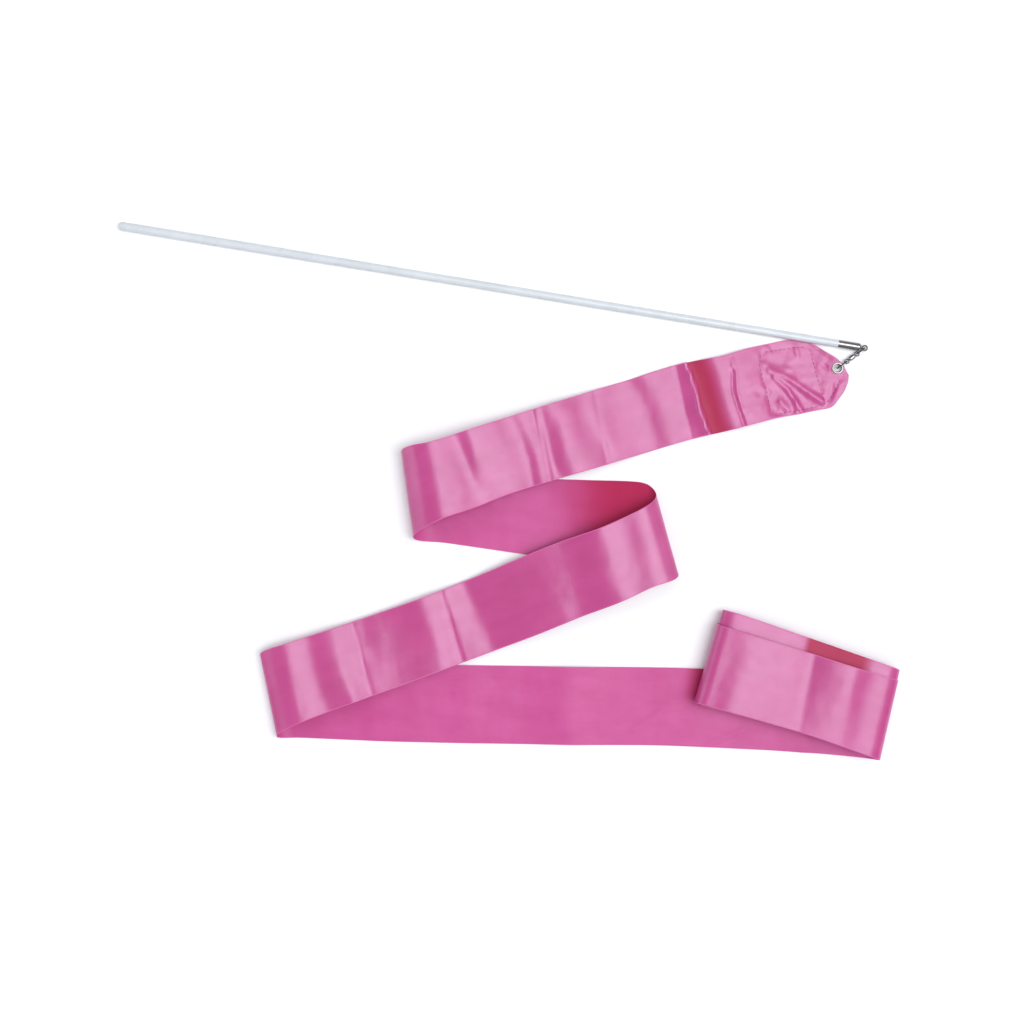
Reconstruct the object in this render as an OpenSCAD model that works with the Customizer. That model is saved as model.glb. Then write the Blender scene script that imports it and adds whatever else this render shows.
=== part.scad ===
// Rhythmic ribbon wand, laid out on a flat surface.
// X runs along the stick, from the grip end to the tip. Z is up.
// The origin is on the stick's axis, where the end cap meets the sleeve.

/* [Stick] */
// Outer diameter of the sleeve where the hand holds it
grip_d = 5.4; // [5.2:0.1:5.8]
// Length of the straight grip stretch of the sleeve
grip_len = 100; // [80:5:140]
// Outer diameter of the sleeve and the ferrule at the tip end
shaft_d = 5.0; // [4.8:0.1:5.0]
// Diameter of the glass fibre core
core_d = 4.0; // [3.4:0.1:4.0]
// Length of the sleeve, from the end cap to the ferrule
sleeve_len = 461.5; // [455:0.5:469]
// Length of the rounded end cap
cap_len = 6; // [4:0.5:9]

/* [Tip] */
// Length of the ferrule's straight tube
ferrule_tube_len = 13.7; // [12:0.1:15]
// Length of the ferrule's conical nose
nose_len = 1.8; // [1.6:0.1:2]
// Wire diameter of the turning eye at the tip
eye_wire_d = 0.9; // [0.8:0.05:0.9]
// Radius of the turning eye, to the middle of its wire
eye_r = 1.5; // [1.5:0.05:1.7]

/* [Connector] */
// Distance from the turning eye to the eyelet in the ribbon
chain_len = 21.6; // [21.6:0.1:22.4]
// Direction from the eyelet to the turning eye, from the X axis
chain_dir = 46; // [44:1:48]
// Wire diameter of the two oval rings
ring_wire_d = 0.8; // [0.7:0.05:0.8]
// Outer diameter of the swivel's barrel
barrel_d = 3.0; // [2.8:0.1:3.2]
// Length of the swivel's barrel
barrel_len = 4.0; // [3.8:0.1:4]

/* [Ribbon] */
// Width of the ribbon
ribbon_w = 50; // [48:0.5:52]
// Thickness that the cloth is given
cloth_t = 0.4; // [0.3:0.05:0.4]
// Height of the first loop
loop_1 = 26; // [20:1:30]
// Height of the second loop
loop_2 = 24; // [18:1:28]
// Height of the third loop
loop_3 = 16; // [14:1:20]
// Height of the wound bundle at its two ends
bundle_h = 16; // [14:1:20]

/* [Eyelet] */
// Radius of the eyelet's hole
eyelet_hole_r = 2.5; // [2.4:0.05:2.6]
// Outer radius of the eyelet's two flanges
eyelet_flange_r = 3.65; // [3.5:0.05:3.7]

/* [Hidden] */
$fn = 64;

floor_z = -grip_d / 2;

// Inside of the tip
core_end = sleeve_len + 8.5;
ferrule_end = sleeve_len + ferrule_tube_len;
nose_end = ferrule_end + nose_len;
nose_r = 1.1;
shank_r = 0.6;
shank_play = 0.05;
collar_r = 1.5;
collar_len = 1.6;
cavity_r = 1.8;
nose_wall = 1.5;
cap_floor = 3.5;
taper_len = 60;
eye_x = nose_end + eye_wire_d / 2 + eye_r + 0.1;

// Connector, along the line from the eyelet to the turning eye
eyelet_x = eye_x - chain_len * cos(chain_dir);
eyelet_y = -chain_len * sin(chain_dir);
ring_end_r = 1.45;
lower_eye_at = 7.4;
swivel_reach = 4;
barrel_at = lower_eye_at + swivel_reach;
upper_eye_at = barrel_at + swivel_reach;
swivel_z = -0.5;
link_ring_z = -0.3;
eyelet_ring_z = -0.75;
swivel_eye_r = 1.35;
swivel_wire_r = 0.35;
neck_r = 0.4;
neck_play = 0.05;
head_r = 0.9;
head_len = 0.6;
barrel_wall = 0.55;
barrel_cavity_r = 1.05;
head_gap = 0.1;

// Sewn end of the ribbon. It is lifted off the surface by the oval ring under it
end_z = -0.6;
flange_t = 0.5;
sleeve_gap = 0.3;
end_outline_top = -shaft_d / 2 - sleeve_gap;
thread_w = 0.45;
thread_t = 0.25;
stitch_len = 2.4;
stitch_pitch = 3.2;

// Both ends of each row of stitches on the sewn end
inner_row = [[415, -12], [426.4, -51.5]];
outer_row = [[444.2, -4.4], [460.4, -40.6]];
edge_rows = [[[416.5, -9], [442, -4.4]], [[430, -52.8], [458, -42.2]]];
taper_rows = [[[447, -4.4], [458.6, -9.8]], [[469.2, -21.5], [463, -39]]];

// Each run of the ribbon: [x, y, direction of the line across it, height] at both its ends
runs = [
    [[419.8, -31.9, 108, end_z - floor_z - cloth_t / 2], [217, -129, 108, loop_1]],
    [[213, -147.5, 107, 0], [366, -134.5, 110, 0]],
    [[361.5, -150.4, 112, loop_2], [145, -276, 110, loop_3]],
    [[142, -285, 108, 0], [526, -231, 90, 0]],
    [[524, -232, 89, bundle_h], [418.5, -216.5, 86, bundle_h]]
];
// How far a run takes to come down from the height of its end
rise_len = 125;
run_step = 15;
turn_steps = 12;

// Wraps inside the bundle. The upper ones and the last run sag between their two folds
wrap_count = 6;
wrap_gap = 1.5;
wrap_inset = 2.2;
wrap_shift = 1.5;
wrap_sag = 3;
wrap_left_at = [418.5, -206];
wrap_right_at = [522, -227];
first_wrap = 6;
wrap_turn_steps = 8;
last_run = 5;
hem_len = 6;
hem_gap = 0.02;
hem_inset = 3;

function along(angle) = [cos(angle), sin(angle), 0];
function mix(a, b, w) = a + (b - a) * w;
function ease(w) = w <= 0 ? 0 : w >= 1 ? 1 : (1 - cos(180 * w)) / 2;
function plan(rung) = [rung[0], rung[1], 0];
function run_vector(run) = plan(run[1]) - plan(run[0]);
function run_len(run) = norm(run_vector(run));
function run_dir(run) = run_vector(run) / run_len(run);

// The ribbon's face side is up on odd runs and down on even ones
function face_up(number) = number % 2 == 1 ? 1 : -1;

// Half of the line across a run, towards the same edge of the cloth all the way
function across(run, number, angle) =
    let (dir = run_dir(run))
    let (side = cross([0, 0, face_up(number)], dir))
    let (line = along(angle))
    let (lean = line * side)
    line * (ribbon_w / 2) / lean;

function run_height(run, s, low) =
    let (length = run_len(run))
    let (rise = min(rise_len, length / 2))
    low + (run[0][3] - low) * ease(1 - s / rise)
    + (run[1][3] - low) * ease(1 - (length - s) / rise);

function ring(middle, half, normal) = [
    middle + half + normal,
    middle - half + normal,
    middle - half - normal,
    middle + half - normal
];

function run_rings(run, number, low) =
    let (count = ceil(run_len(run) / run_step))
    [for (i = [0:count])
        let (w = i / count)
        let (height = run_height(run, w * run_len(run), low))
        let (z = floor_z + cloth_t / 2 + height)
        ring(
            mix(plan(run[0]), plan(run[1]), w) + [0, 0, z],
            across(run, number, mix(run[0][2], run[1][2], w)),
            [0, 0, face_up(number) * cloth_t / 2]
        )];

// A half turn between two runs, round the outside of the loop
function turn_rings(from, to, number, steps) =
    let (half_0 = across(from, number, from[1][2]))
    let (half_1 = across(to, number + 1, to[0][2]))
    let (line = half_0 / norm(half_0))
    let (dir = run_dir(from))
    let (flat = dir - line * (dir * line))
    let (out = flat / norm(flat))
    let (radius = abs(to[0][3] - from[1][3]) / 2)
    [for (i = [0:steps])
        let (w = i / steps)
        let (turned = 180 * w)
        let (height = mix(from[1][3], to[0][3], (1 - cos(turned)) / 2))
        ring(
            mix(plan(from[1]), plan(to[0]), w) + out * radius * sin(turned)
                + [0, 0, floor_z + cloth_t / 2 + height],
            mix(half_0, half_1, w),
            ([0, 0, face_up(number)] * cos(turned) + out * sin(turned)) * cloth_t / 2
        )];

// A closed strip through a list of rings of four corners each
module strip(rings) {
    last = len(rings) - 1;
    sides = [for (i = [0:last - 1]) for (k = [0:3])
        let (a = 4 * i + k)
        let (b = 4 * i + (k + 1) % 4)
        each [[a, b, b + 4], [a, b + 4, a + 4]]];
    first_cap = [[0, 2, 1], [0, 3, 2]];
    end = 4 * last;
    last_cap = [[end, end + 1, end + 2], [end, end + 2, end + 3]];
    polyhedron([for (r = rings) each r], concat(first_cap, sides, last_cap), convexity = 4);
}

module ribbon_run(number) {
    low = number == last_run ? bundle_h - wrap_sag : 0;
    color("hotpink") strip(run_rings(runs[number - 1], number, low));
}

module ribbon_turn(number) {
    color("hotpink")
    strip(turn_rings(runs[number - 1], runs[number], number, turn_steps));
}

// Runs wound inside the bundle, each one nested in the one before
function wrap_left(k) = wrap_left_at + [wrap_inset * k, -wrap_shift * k];
function wrap_right(k) = wrap_right_at - [wrap_inset * k, 0];
function wrap_height(k) =
    let (turn = floor(k / 2))
    k % 2 == 0 ? wrap_gap * (turn + 1) : bundle_h - wrap_gap * (turn + 1);
function wrap_low(k) = wrap_height(k) - (k % 2) * wrap_sag;
function wrap_run(k) =
    let (left = [wrap_left(k)[0], wrap_left(k)[1], 86, wrap_height(k)])
    let (right = [wrap_right(k)[0], wrap_right(k)[1], 89, wrap_height(k)])
    k % 2 == 0 ? [left, right] : [right, left];
inner_wraps = [for (k = [0:wrap_count - 1]) wrap_run(k)];

// The last turn leads from the top run into the first inner wrap
module ribbon_turn_5() {
    color("hotpink") strip(turn_rings(runs[4], inner_wraps[0], last_run, turn_steps));
}

module ribbon_inner_wraps() {
    parts = [for (k = [0:wrap_count - 1])
        let (number = first_wrap + k)
        concat(
            run_rings(inner_wraps[k], number, wrap_low(k)),
            k < wrap_count - 1
                ? let (turn = turn_rings(inner_wraps[k], inner_wraps[k + 1], number, wrap_turn_steps))
                    [for (i = [1:wrap_turn_steps - 1]) turn[i]]
                : []
        )];
    color("deeppink") strip([for (p = parts) each p]);
}

free_end = inner_wraps[wrap_count - 1];
free_number = last_run + wrap_count;
free_low = wrap_low(wrap_count - 1);
hem_lift = cloth_t + hem_gap;

// The folded edge at the free end, lying on the last run
module free_end_hem() {
    length = run_len(free_end);
    half = across(free_end, free_number, free_end[1][2]);
    normal = [0, 0, face_up(free_number) * cloth_t / 2];
    color("hotpink")
    strip([for (s = [length - hem_len, length])
        let (z = floor_z + cloth_t / 2 + run_height(free_end, s, free_low) + hem_lift)
        ring(plan(free_end[0]) + run_dir(free_end) * s + [0, 0, z], half, normal)]);
}

module hem_stitches() {
    line = along(free_end[1][2]) * (ribbon_w / 2 - hem_inset);
    middle = plan(free_end[1]) - run_dir(free_end) * (hem_len - 1);
    color("mediumvioletred")
    translate([0, 0, floor_z + cloth_t + hem_lift + free_end[1][3]])
    stitches([middle - line, middle + line]);
}

// A row of stitches from one point to another
module stitches(row) {
    from = row[0];
    to = row[1];
    length = norm(to - from);
    count = floor((length + stitch_pitch - stitch_len) / stitch_pitch);
    angle = atan2(to[1] - from[1], to[0] - from[0]);
    spare = length - (count - 1) * stitch_pitch - stitch_len;
    translate([from[0], from[1], 0])
    rotate(angle)
    for (i = [0:count - 1])
        translate([spare / 2 + i * stitch_pitch, -thread_w / 2, 0])
        cube([stitch_len, thread_w, thread_t]);
}

// Outline of the sewn end, from the stick's side round the nose
module end_outline(start_in = 0) {
    run = runs[0];
    start = run[0];
    half = across(run, 1, start[2]);
    on_top = plan(start) - half;
    below = plan(start) + half;
    polygon([
        [on_top[0] + start_in, on_top[1]],
        [428, end_outline_top], [447.7, end_outline_top], [461.7, -9],
        [468.5, -14], [471.8, -19.5], [471.8, -25], [469.5, -32], [465, -41],
        [below[0] + start_in, below[1] + start_in * 0.4]
    ]);
}

module ribbon_end() {
    color("hotpink")
    difference() {
        translate([0, 0, end_z - cloth_t / 2]) linear_extrude(cloth_t) end_outline();
        translate([eyelet_x, eyelet_y, end_z - 1]) cylinder(r = eyelet_hole_r + 0.5, h = 2);
    }
}

// The turned-back layer sewn under the end
module end_patch() {
    color("palevioletred")
    difference() {
        translate([0, 0, end_z - 1.5 * cloth_t]) linear_extrude(cloth_t) end_outline(0.8);
        translate([eyelet_x, eyelet_y, end_z - 2]) cylinder(r = eyelet_hole_r + 0.5, h = 3);
    }
}

module on_end() {
    translate([0, 0, end_z + cloth_t / 2]) children();
}

module cross_stitches_inner() {
    color("mediumvioletred") on_end() stitches(inner_row);
}

module cross_stitches_outer() {
    color("mediumvioletred") on_end() stitches(outer_row);
}

module edge_stitches() {
    color("mediumvioletred") on_end() for (row = edge_rows) stitches(row);
}

module taper_stitches() {
    color("mediumvioletred") on_end() for (row = taper_rows) stitches(row);
}

// Flanged tube of the eyelet, seen on the face side
module eyelet_front() {
    tube_len = 2 * cloth_t + flange_t + 0.2;
    color("gainsboro")
    translate([eyelet_x, eyelet_y, end_z + cloth_t / 2])
    difference() {
        union() {
            rotate_extrude() translate([eyelet_flange_r - flange_t / 2, flange_t / 2])
                circle(d = flange_t);
            cylinder(r = eyelet_flange_r - flange_t / 2, h = flange_t);
            translate([0, 0, flange_t - tube_len])
                cylinder(r = eyelet_hole_r + 0.4, h = tube_len);
        }
        translate([0, 0, -2]) cylinder(r = eyelet_hole_r, h = 4);
    }
}

// Washer that the tube is rolled over on the back
module eyelet_back() {
    color("silver")
    translate([eyelet_x, eyelet_y, end_z - 1.5 * cloth_t - 0.4])
    difference() {
        cylinder(r = eyelet_flange_r - 0.1, h = 0.4);
        translate([0, 0, -1]) cylinder(r = eyelet_hole_r + 0.4, h = 3);
    }
}

module along_x(from) {
    translate([from, 0, 0]) rotate([0, 90, 0]) children();
}

// Places children on the connector's line, x pointing to the stick's tip
module on_chain(at, z) {
    translate([eyelet_x + at * cos(chain_dir), eyelet_y + at * sin(chain_dir), z])
    rotate(chain_dir)
    children();
}

module grip_cap() {
    color("whitesmoke")
    along_x(-cap_len)
    rotate_extrude()
    difference() {
        union() {
            translate([0, grip_d / 2]) intersection() {
                circle(d = grip_d);
                translate([0, -grip_d]) square([grip_d, grip_d * 2]);
            }
            translate([0, grip_d / 2]) square([grip_d / 2, cap_len - grip_d / 2]);
        }
        translate([0, cap_floor]) square([core_d / 2, cap_len]);
        translate([-grip_d, -1]) square([grip_d, cap_len + 2]);
    }
}

module rod_core() {
    start = -cap_len + cap_floor;
    color("ivory") along_x(start) cylinder(d = core_d, h = core_end - start);
}

module rod_sleeve() {
    color("white")
    along_x(0)
    difference() {
        union() {
            cylinder(d = grip_d, h = grip_len);
            translate([0, 0, grip_len]) cylinder(d1 = grip_d, d2 = shaft_d, h = taper_len);
            translate([0, 0, grip_len + taper_len])
                cylinder(d = shaft_d, h = sleeve_len - grip_len - taper_len);
        }
        translate([0, 0, -1]) cylinder(d = core_d, h = sleeve_len + 2);
    }
}

module ferrule() {
    color("dimgray")
    along_x(sleeve_len)
    difference() {
        union() {
            cylinder(d = shaft_d, h = ferrule_tube_len);
            translate([0, 0, ferrule_tube_len])
                cylinder(d1 = shaft_d, d2 = 2 * nose_r, h = nose_len);
        }
        translate([0, 0, -1]) cylinder(d = core_d, h = core_end - sleeve_len + 1);
        translate([0, 0, core_end - sleeve_len - 0.5])
            cylinder(r = cavity_r, h = ferrule_tube_len + nose_len - nose_wall
                - core_end + sleeve_len + 0.5);
        cylinder(r = shank_r + shank_play, h = ferrule_tube_len + nose_len + 1);
    }
}

collar_at = nose_end - nose_wall - 0.15 - collar_len;

// Collar pressed on the shank behind the nose, so that the eye can't pull out
module eye_collar() {
    color("goldenrod")
    along_x(collar_at)
    difference() {
        cylinder(r = collar_r, h = collar_len);
        translate([0, 0, -1]) cylinder(r = shank_r, h = collar_len + 2);
    }
}

module tip_eye() {
    color("gray") {
        translate([eye_x, 0, 0]) rotate_extrude() translate([eye_r, 0]) circle(d = eye_wire_d);
        along_x(collar_at - 0.4) cylinder(r = shank_r, h = eye_x - eye_r - collar_at + 0.4);
    }
}

// Oval ring of round wire, standing on edge along x
module oval_ring(mean_len) {
    straight = mean_len - 2 * ring_end_r;
    for (side = [0, 1])
        mirror([side, 0, 0])
        translate([straight / 2, 0, 0])
        rotate([90, 0, 0])
        rotate([0, 0, -90])
        rotate_extrude(angle = 180) translate([ring_end_r, 0]) circle(d = ring_wire_d);
    for (z = [-ring_end_r, ring_end_r])
        translate([-straight / 2, 0, z])
        rotate([0, 90, 0])
        cylinder(d = ring_wire_d, h = straight);
}

module link_ring() {
    color("slategray")
    on_chain((upper_eye_at + chain_len) / 2, link_ring_z)
    oval_ring(chain_len - upper_eye_at);
}

module eyelet_ring() {
    color("slategray")
    on_chain(lower_eye_at / 2, eyelet_ring_z)
    oval_ring(lower_eye_at);
}

// Wire eye with its shank and head, pointing along x from the eye to the head
module swivel_eye() {
    neck_start = swivel_eye_r;
    head_at = swivel_reach - barrel_len / 2 + barrel_wall + head_gap;
    rotate_extrude() translate([swivel_eye_r, 0]) circle(r = swivel_wire_r);
    along_x(neck_start) cylinder(r = neck_r, h = head_at - neck_start + head_len / 2);
    along_x(head_at) cylinder(r = head_r, h = head_len);
}

module swivel_lower_eye() {
    color("lightslategray") on_chain(lower_eye_at, swivel_z) swivel_eye();
}

module swivel_upper_eye() {
    color("lightslategray") on_chain(upper_eye_at, swivel_z) rotate(180) swivel_eye();
}

module swivel_barrel() {
    collar = 0.7;
    waist_r = barrel_d / 2 - 0.3;
    color("lightsteelblue")
    on_chain(barrel_at, swivel_z)
    along_x(-barrel_len / 2)
    difference() {
        union() {
            cylinder(r = waist_r, h = barrel_len);
            translate([0, 0, collar]) cylinder(d = barrel_d, h = barrel_len - 2 * collar);
            cylinder(r1 = waist_r, r2 = barrel_d / 2 - 0.1, h = collar / 2);
            translate([0, 0, barrel_len - collar / 2])
                cylinder(r1 = barrel_d / 2 - 0.1, r2 = waist_r, h = collar / 2);
        }
        translate([0, 0, barrel_wall])
            cylinder(r = barrel_cavity_r, h = barrel_len - 2 * barrel_wall);
        translate([0, 0, -1]) cylinder(r = neck_r + neck_play, h = barrel_len + 2);
    }
}

grip_cap();
rod_core();
rod_sleeve();
ferrule();
eye_collar();
tip_eye();
link_ring();
swivel_upper_eye();
swivel_barrel();
swivel_lower_eye();
eyelet_ring();
eyelet_front();
eyelet_back();
ribbon_end();
end_patch();
cross_stitches_inner();
cross_stitches_outer();
edge_stitches();
taper_stitches();
ribbon_run(1);  // ribbon_run_1
ribbon_turn(1);  // ribbon_turn_1
ribbon_run(2);  // ribbon_run_2
ribbon_turn(2);  // ribbon_turn_2
ribbon_run(3);  // ribbon_run_3
ribbon_turn(3);  // ribbon_turn_3
ribbon_run(4);  // ribbon_run_4
ribbon_turn(4);  // ribbon_turn_4
ribbon_run(5);  // ribbon_run_5
ribbon_turn_5();
ribbon_inner_wraps();
free_end_hem();
hem_stitches();
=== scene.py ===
"""Looks of the rhythmic ribbon wand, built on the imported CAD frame.

Lengths in the data below are millimetres and heights are above the surface that the wand lies on.
Everything is turned into metres when a mesh is made. The lights alone are placed in metres.
"""

import math

import bpy
import numpy as np
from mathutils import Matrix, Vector


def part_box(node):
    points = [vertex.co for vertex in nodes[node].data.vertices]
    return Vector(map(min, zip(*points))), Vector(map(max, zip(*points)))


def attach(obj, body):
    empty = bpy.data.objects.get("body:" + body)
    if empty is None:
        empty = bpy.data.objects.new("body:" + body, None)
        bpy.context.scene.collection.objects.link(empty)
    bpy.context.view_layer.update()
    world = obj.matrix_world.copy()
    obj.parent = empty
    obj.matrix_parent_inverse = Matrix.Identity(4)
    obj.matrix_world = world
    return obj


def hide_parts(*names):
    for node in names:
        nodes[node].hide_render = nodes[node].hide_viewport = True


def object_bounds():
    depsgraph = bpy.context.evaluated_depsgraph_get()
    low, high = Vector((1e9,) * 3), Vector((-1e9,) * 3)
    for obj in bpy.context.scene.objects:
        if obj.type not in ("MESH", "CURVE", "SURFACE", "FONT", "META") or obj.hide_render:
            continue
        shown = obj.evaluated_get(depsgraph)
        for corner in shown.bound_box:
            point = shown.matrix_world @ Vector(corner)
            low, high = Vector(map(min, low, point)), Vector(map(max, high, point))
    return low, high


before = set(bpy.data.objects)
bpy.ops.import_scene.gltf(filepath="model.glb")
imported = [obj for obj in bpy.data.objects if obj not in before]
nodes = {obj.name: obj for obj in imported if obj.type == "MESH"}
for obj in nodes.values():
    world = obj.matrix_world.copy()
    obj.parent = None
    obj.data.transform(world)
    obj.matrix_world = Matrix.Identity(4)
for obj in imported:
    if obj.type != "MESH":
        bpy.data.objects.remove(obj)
cad_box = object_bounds()
MM = 0.001

# ---------------------------------------------------------------------------------------------
# Camera, surface and light
# ---------------------------------------------------------------------------------------------
FLOOR = cad_box[0].z / MM
CAMERA_HEIGHT = 914.6
CAMERA_OVER = (272.8, -140.4)
CAMERA_TURN = 9.32
FLOOR_HALF = 6000
FLOOR_GAP = 0.02
SKY_STRENGTH = 0.84
KEY_POWER = 90


def make_camera():
    data = bpy.data.cameras.new("camera")
    data.lens = 50
    data.sensor_width = 36
    data.clip_start = 0.01
    camera = bpy.data.objects.new("camera", data)
    bpy.context.scene.collection.objects.link(camera)
    camera.location = Vector((*CAMERA_OVER, FLOOR + CAMERA_HEIGHT)) * MM
    camera.rotation_euler = (0, 0, math.radians(CAMERA_TURN))
    bpy.context.scene.camera = camera


def make_floor():
    mesh = bpy.data.meshes.new("floor")
    corners = [(-1, -1), (1, -1), (1, 1), (-1, 1)]
    half = FLOOR_HALF * MM
    mesh.from_pydata([(x * half, y * half, (FLOOR - FLOOR_GAP) * MM) for x, y in corners],
                     [], [(0, 1, 2, 3)])
    floor = bpy.data.objects.new("floor", mesh)
    bpy.context.scene.collection.objects.link(floor)
    return floor


def area_light(name, place, aim, size, power, colour=(1, 1, 1)):
    data = bpy.data.lights.new(name, "AREA")
    data.shape = "RECTANGLE"
    data.size, data.size_y = size
    data.energy = power
    data.color = colour
    light = bpy.data.objects.new(name, data)
    light.location = place
    light.rotation_euler = (Vector(aim) - Vector(place)).to_track_quat("-Z", "Y").to_euler()
    bpy.context.scene.collection.objects.link(light)


def image_place(right, up, height):
    """A place given in metres to the right of the view's middle, up the picture and above the floor."""
    turn = math.radians(CAMERA_TURN)
    x = CAMERA_OVER[0] * MM + right * math.cos(turn) - up * math.sin(turn)
    y = CAMERA_OVER[1] * MM + right * math.sin(turn) + up * math.cos(turn)
    return (x, y, height)


def make_sky():
    """A soft room, darker towards the horizon."""
    world = bpy.data.worlds.new("world")
    bpy.context.scene.world = world
    world.use_nodes = True
    tree = world.node_tree
    place = tree.nodes.new("ShaderNodeTexCoord")
    split = tree.nodes.new("ShaderNodeSeparateXYZ")
    ramp = tree.nodes.new("ShaderNodeValToRGB")
    ramp.color_ramp.elements[0].color = (0.22, 0.225, 0.23, 1)
    ramp.color_ramp.elements[1].color = (0.80, 0.83, 0.87, 1)
    tree.links.new(place.outputs["Generated"], split.inputs[0])
    tree.links.new(split.outputs["Z"], ramp.inputs["Fac"])
    tree.links.new(ramp.outputs["Color"], tree.nodes["Background"].inputs["Color"])
    tree.nodes["Background"].inputs["Strength"].default_value = SKY_STRENGTH


def make_light():
    middle = image_place(0, 0, 0)
    area_light("key", image_place(1.25, -0.1, 3.5), middle, (1.9, 2.8), KEY_POWER, (0.96, 0.98, 1.0))
    area_light("left", image_place(-1.9, 0.1, 0.75), middle, (0.5, 1.8), 9)
    area_light("right", image_place(2.1, 0.1, 0.95), middle, (0.4, 1.8), 7)
    make_sky()
    bpy.context.scene.view_settings.view_transform = "Standard"


# ---------------------------------------------------------------------------------------------
# Materials
# ---------------------------------------------------------------------------------------------
class Shader:
    """A node tree round one Principled BSDF."""

    def __init__(self, name):
        self.material = bpy.data.materials.new(name)
        self.material.use_nodes = True
        self.tree = self.material.node_tree
        self.bsdf = self.tree.nodes["Principled BSDF"]

    def add(self, kind, **settings):
        node = self.tree.nodes.new(kind)
        for key, value in settings.items():
            setattr(node, key, value)
        return node

    def link(self, source, target):
        self.tree.links.new(source, target)

    def fixed(self, **values):
        for key, value in values.items():
            self.bsdf.inputs[key.replace("_", " ")].default_value = value

    def math(self, operation, a, b=None, clamp=False):
        node = self.add("ShaderNodeMath", operation=operation, use_clamp=clamp)
        for socket, value in zip(node.inputs, (a, b)):
            if value is None:
                continue
            if isinstance(value, (int, float)):
                socket.default_value = value
            else:
                self.link(value, socket)
        return node.outputs[0]

    def noise(self, vector, scale, detail=2.0, roughness=0.5):
        node = self.add("ShaderNodeTexNoise")
        node.inputs["Scale"].default_value = scale
        node.inputs["Detail"].default_value = detail
        node.inputs["Roughness"].default_value = roughness
        self.link(vector, node.inputs["Vector"])
        return node.outputs["Fac"]

    def stretched(self, vector, scale):
        node = self.add("ShaderNodeMapping")
        node.inputs["Scale"].default_value = scale
        self.link(vector, node.inputs["Vector"])
        return node.outputs["Vector"]

    def ramp(self, value, stops):
        node = self.add("ShaderNodeValToRGB")
        ramp = node.color_ramp
        while len(ramp.elements) < len(stops):
            ramp.elements.new(0.5)
        for element, (position, colour) in zip(ramp.elements, stops):
            element.position = position
            element.color = (*colour, 1)
        self.link(value, node.inputs["Fac"])
        return node.outputs["Color"]

    def spread(self, value, low, high):
        """Turns 0 to 1 into low to high."""
        node = self.add("ShaderNodeMapRange")
        node.inputs["To Min"].default_value = low
        node.inputs["To Max"].default_value = high
        self.link(value, node.inputs["Value"])
        return node.outputs["Result"]

    def mix(self, factor, a, b):
        node = self.add("ShaderNodeMix", data_type="RGBA")
        for socket, value in ((node.inputs["Factor"], factor), (node.inputs[6], a), (node.inputs[7], b)):
            if isinstance(value, tuple):
                socket.default_value = (*value, 1)
            elif isinstance(value, (int, float)):
                socket.default_value = value
            else:
                self.link(value, socket)
        return node.outputs[2]

    def bump(self, height, distance, strength=1.0, under=None):
        node = self.add("ShaderNodeBump")
        node.inputs["Distance"].default_value = distance
        node.inputs["Strength"].default_value = strength
        self.link(height, node.inputs["Height"])
        if under is not None:
            self.link(under, node.inputs["Normal"])
        return node.outputs["Normal"]


# The ribbon's own map: u runs across it from 0 to 1, v along it in ribbon widths
CLOTH_MAP = "cloth"
# Painted crimson fold shade on each point of the cloth, from 0 to 1, by how deep in a fold it lies
FOLD_SHADE_MAP = "painted_fold_shade"
RIBBON_W = 50.0
# The selvage starts this far from the ribbon's middle, as a part of its width
SELVAGE_AT = 0.484
SELVAGE_TONE = (0.60, 0.09, 0.30)
FACE_TONES = ((0.46, 0.034, 0.19), (0.50, 0.042, 0.215), (0.54, 0.055, 0.245))
BACK_TONES = ((0.52, 0.055, 0.235), (0.56, 0.07, 0.265), (0.60, 0.085, 0.30))
# The crimson painted shade of cloth deep inside a fold
FOLD_SHADE_TONE = (0.42, 0.008, 0.06)


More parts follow.
